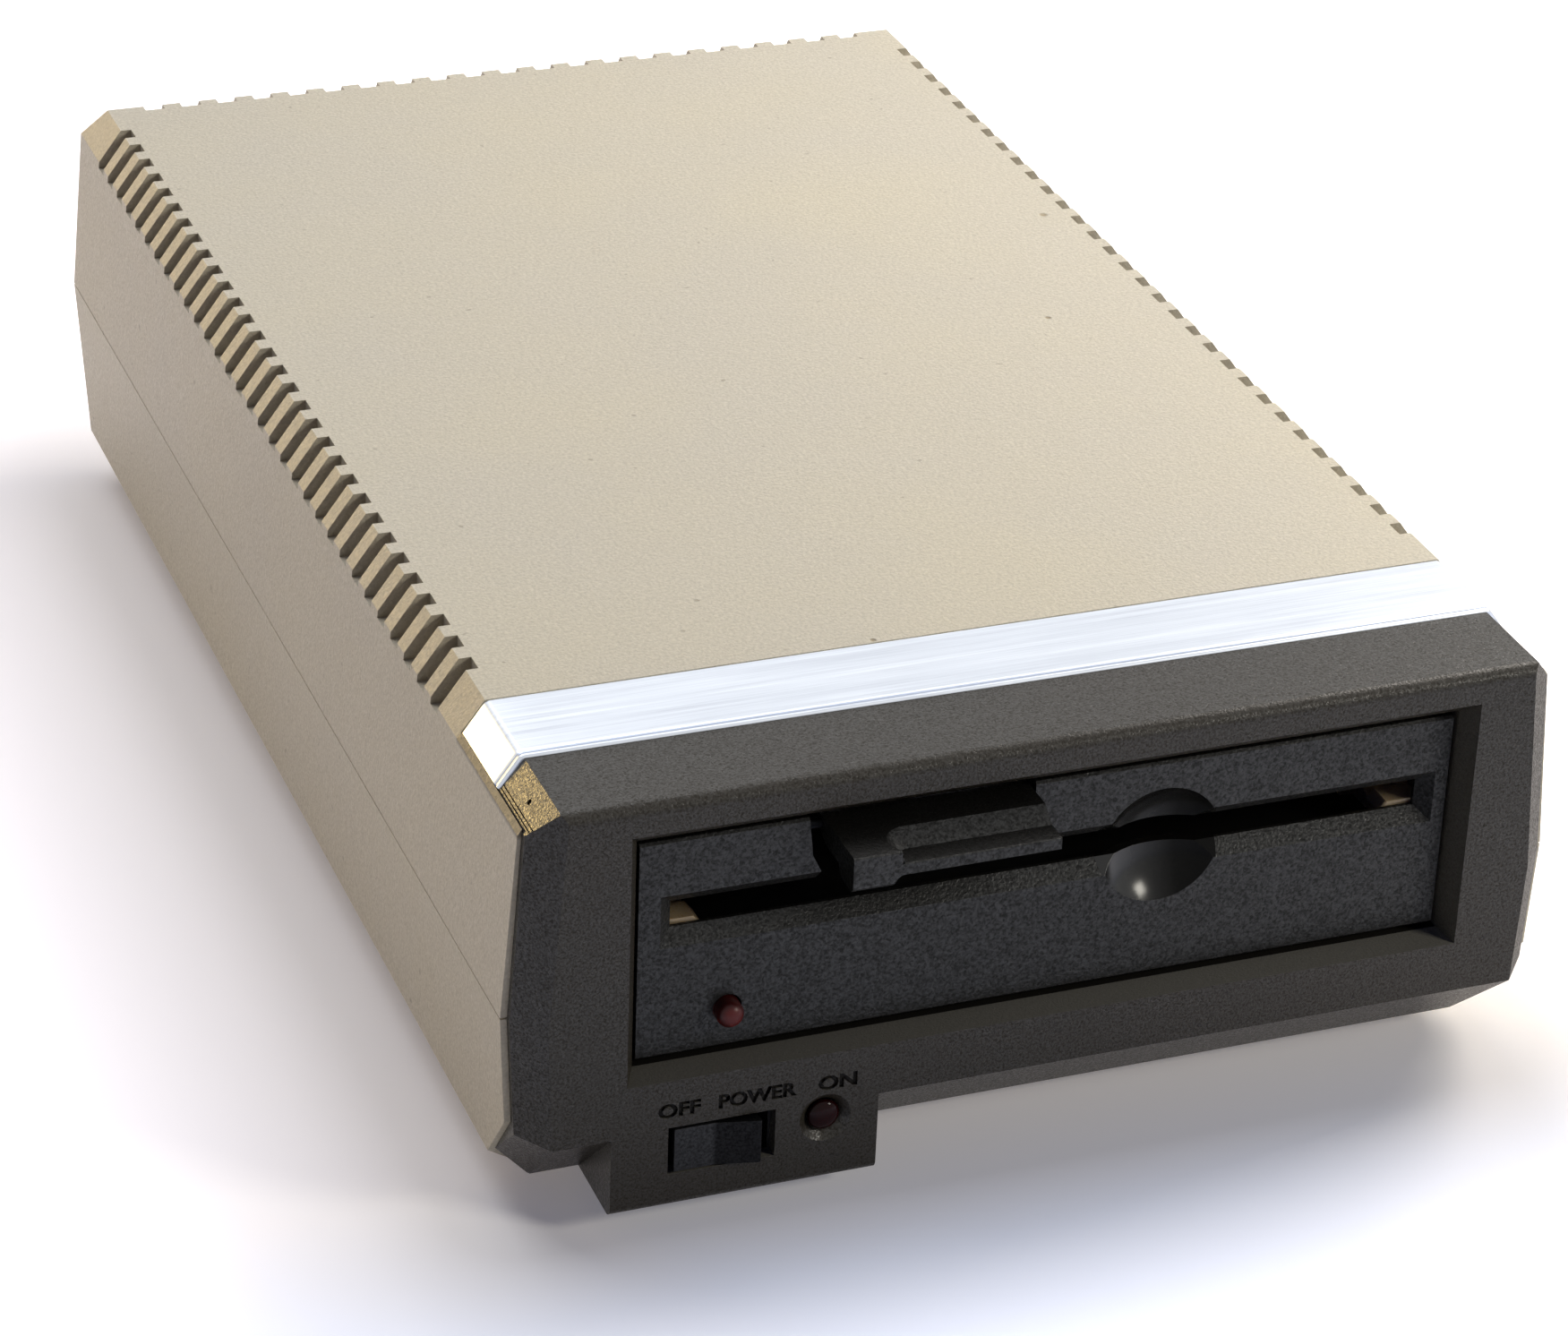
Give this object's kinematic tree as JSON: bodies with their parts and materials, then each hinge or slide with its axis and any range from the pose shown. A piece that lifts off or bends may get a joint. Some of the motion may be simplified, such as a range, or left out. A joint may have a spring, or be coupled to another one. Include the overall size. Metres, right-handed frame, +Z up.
{
  "type": "external floppy disk drive",
  "caption": "Low, wedge-sided desktop floppy drive with vented chamfers, metal trim band, dark bezel with rocker switch, lamps, disk slot and door lever.",
  "frame": {"origin": "on the surface the feet stand on, under the middle of the overall box", "axes": "+Z up, +Y to the rear, +X to the right of someone who faces the disk slot"},
  "size_m": [0.1902, 0.3176, 0.0831],
  "materials": {
    "tan_abs": "fine moulded grain, slightly yellowed",
    "brushed_strip": "brushed along its length",
    "bezel_abs": "fine moulded grain",
    "face_abs": "coarse moulded grain",
    "switch_black": "satin",
    "lamp_red": "clear red epoxy, unlit",
    "cast_alloy": "as die cast",
    "steel": "ground",
    "guide_plastic": "natural acetal",
    "belt_rubber": "matt",
    "board_green": "solder mask",
    "chip_black": "moulded epoxy",
    "can_sleeve": "shrink sleeve",
    "sink_black": "black anodised",
    "contact_metal": "tin plated",
    "socket_plastic": "glass-filled nylon",
    "foot_rubber": "matt",
    "screw_zinc": "zinc plated"
  },
  "bodies": {
    "case": {"top_cover": "tan_abs", "bottom_cover": "tan_abs", "trim_strip": "brushed_strip", "front_bezel": "bezel_abs", "power_led": "lamp_red", "power_switch_body": "switch_black", "drive_faceplate": "face_abs", "busy_led": "lamp_red", "lever_shaft": "steel", "drive_chassis": "cast_alloy", "disk_guide_left": "guide_plastic", "disk_guide_right": "guide_plastic", "spindle_bearings": "steel", "spindle_motor": "steel", "drive_belt": "belt_rubber", "guide_rods": "steel", "stepper_motor": "steel", "clamp_pins": "steel", "drive_board": "board_green", "drive_chips": "chip_black", "main_board": "board_green", "main_board_screws": "screw_zinc", "capacitors": "can_sleeve", "interface_chips": "chip_black", "heat_sink": "sink_black", "regulators": "chip_black", "io_socket_a": "socket_plastic", "io_socket_b": "socket_plastic", "socket_pins": "contact_metal", "power_jack": "socket_plastic", "select_switch_bodies": "switch_black", "rubber_feet": "foot_rubber", "case_screws": "screw_zinc", "drive_screws": "screw_zinc"},
    "door_lever": {"door_lever": "face_abs"},
    "clamp_arm": {"clamp_arm": "steel"},
    "clamp_cone": {"clamp_cone": "guide_plastic"},
    "spindle": {"spindle": "cast_alloy"},
    "motor_rotor": {"motor_pulley": "steel"},
    "head_carriage": {"head_carriage": "guide_plastic", "head_arm_pin": "steel"},
    "head_arm": {"head_arm": "guide_plastic"},
    "stepper_rotor": {"band_capstan": "steel"},
    "power_rocker": {"power_rocker": "switch_black"},
    "select_low": {"select_slider_low": "switch_black"},
    "select_high": {"select_slider_high": "switch_black"}
  },
  "joints": [
    {"name": "lever_hinge", "type": "hinge", "parent": "case", "child": "door_lever", "pos_m": [-0.022, -0.1436, 0.0699], "axis": [1, 0, 0], "range_deg": [0, 72]},
    {"name": "clamp_arm_hinge", "type": "hinge", "parent": "case", "child": "clamp_arm", "pos_m": [0.00105, 0.002, 0.0665], "axis": [1, 0, 0], "range_deg": [0, 3.2]},
    {"name": "clamp_cone_spin", "type": "hinge", "parent": "clamp_arm", "child": "clamp_cone", "pos_m": [0.00105, -0.0725, 0.0665], "axis": [0, 0, 1], "continuous": true},
    {"name": "spindle_spin", "type": "hinge", "parent": "case", "child": "spindle", "pos_m": [0.00105, -0.0725, 0.0465], "axis": [0, 0, 1], "continuous": true},
    {"name": "motor_spin", "type": "hinge", "parent": "case", "child": "motor_rotor", "pos_m": [-0.048, 0.027, 0.0465], "axis": [0, 0, 1], "continuous": true},
    {"name": "head_slide", "type": "slide", "parent": "case", "child": "head_carriage", "axis": [0, -1, 0], "range_m": [0, 0.0206]},
    {"name": "head_arm_hinge", "type": "hinge", "parent": "head_carriage", "child": "head_arm", "pos_m": [0.00105, 0.0145, 0.0617], "axis": [1, 0, 0], "range_deg": [0, 3.2]},
    {"name": "stepper_spin", "type": "hinge", "parent": "case", "child": "stepper_rotor", "pos_m": [0.013, 0.036, 0.0465], "axis": [0, 0, 1], "range_deg": [0, 148]},
    {"name": "rocker_hinge", "type": "hinge", "parent": "case", "child": "power_rocker", "pos_m": [-0.0597, -0.1454, 0.01553], "axis": [0, 0, 1], "range_deg": [0, 13]},
    {"name": "select_low_slide", "type": "slide", "parent": "case", "child": "select_low", "axis": [1, 0, 0], "range_m": [0, 0.0044]},
    {"name": "select_high_slide", "type": "slide", "parent": "case", "child": "select_high", "axis": [1, 0, 0], "range_m": [0, 0.0044]}
  ],
  "couplings": [
    {"joint": "clamp_arm_hinge", "follows": "lever_hinge", "ratio": 0.044434},
    {"joint": "head_arm_hinge", "follows": "lever_hinge", "ratio": 0.044434},
    {"joint": "motor_spin", "follows": "spindle_spin", "ratio": 4.5},
    {"joint": "stepper_spin", "follows": "head_slide", "rad_per_m": 125}
  ]
}
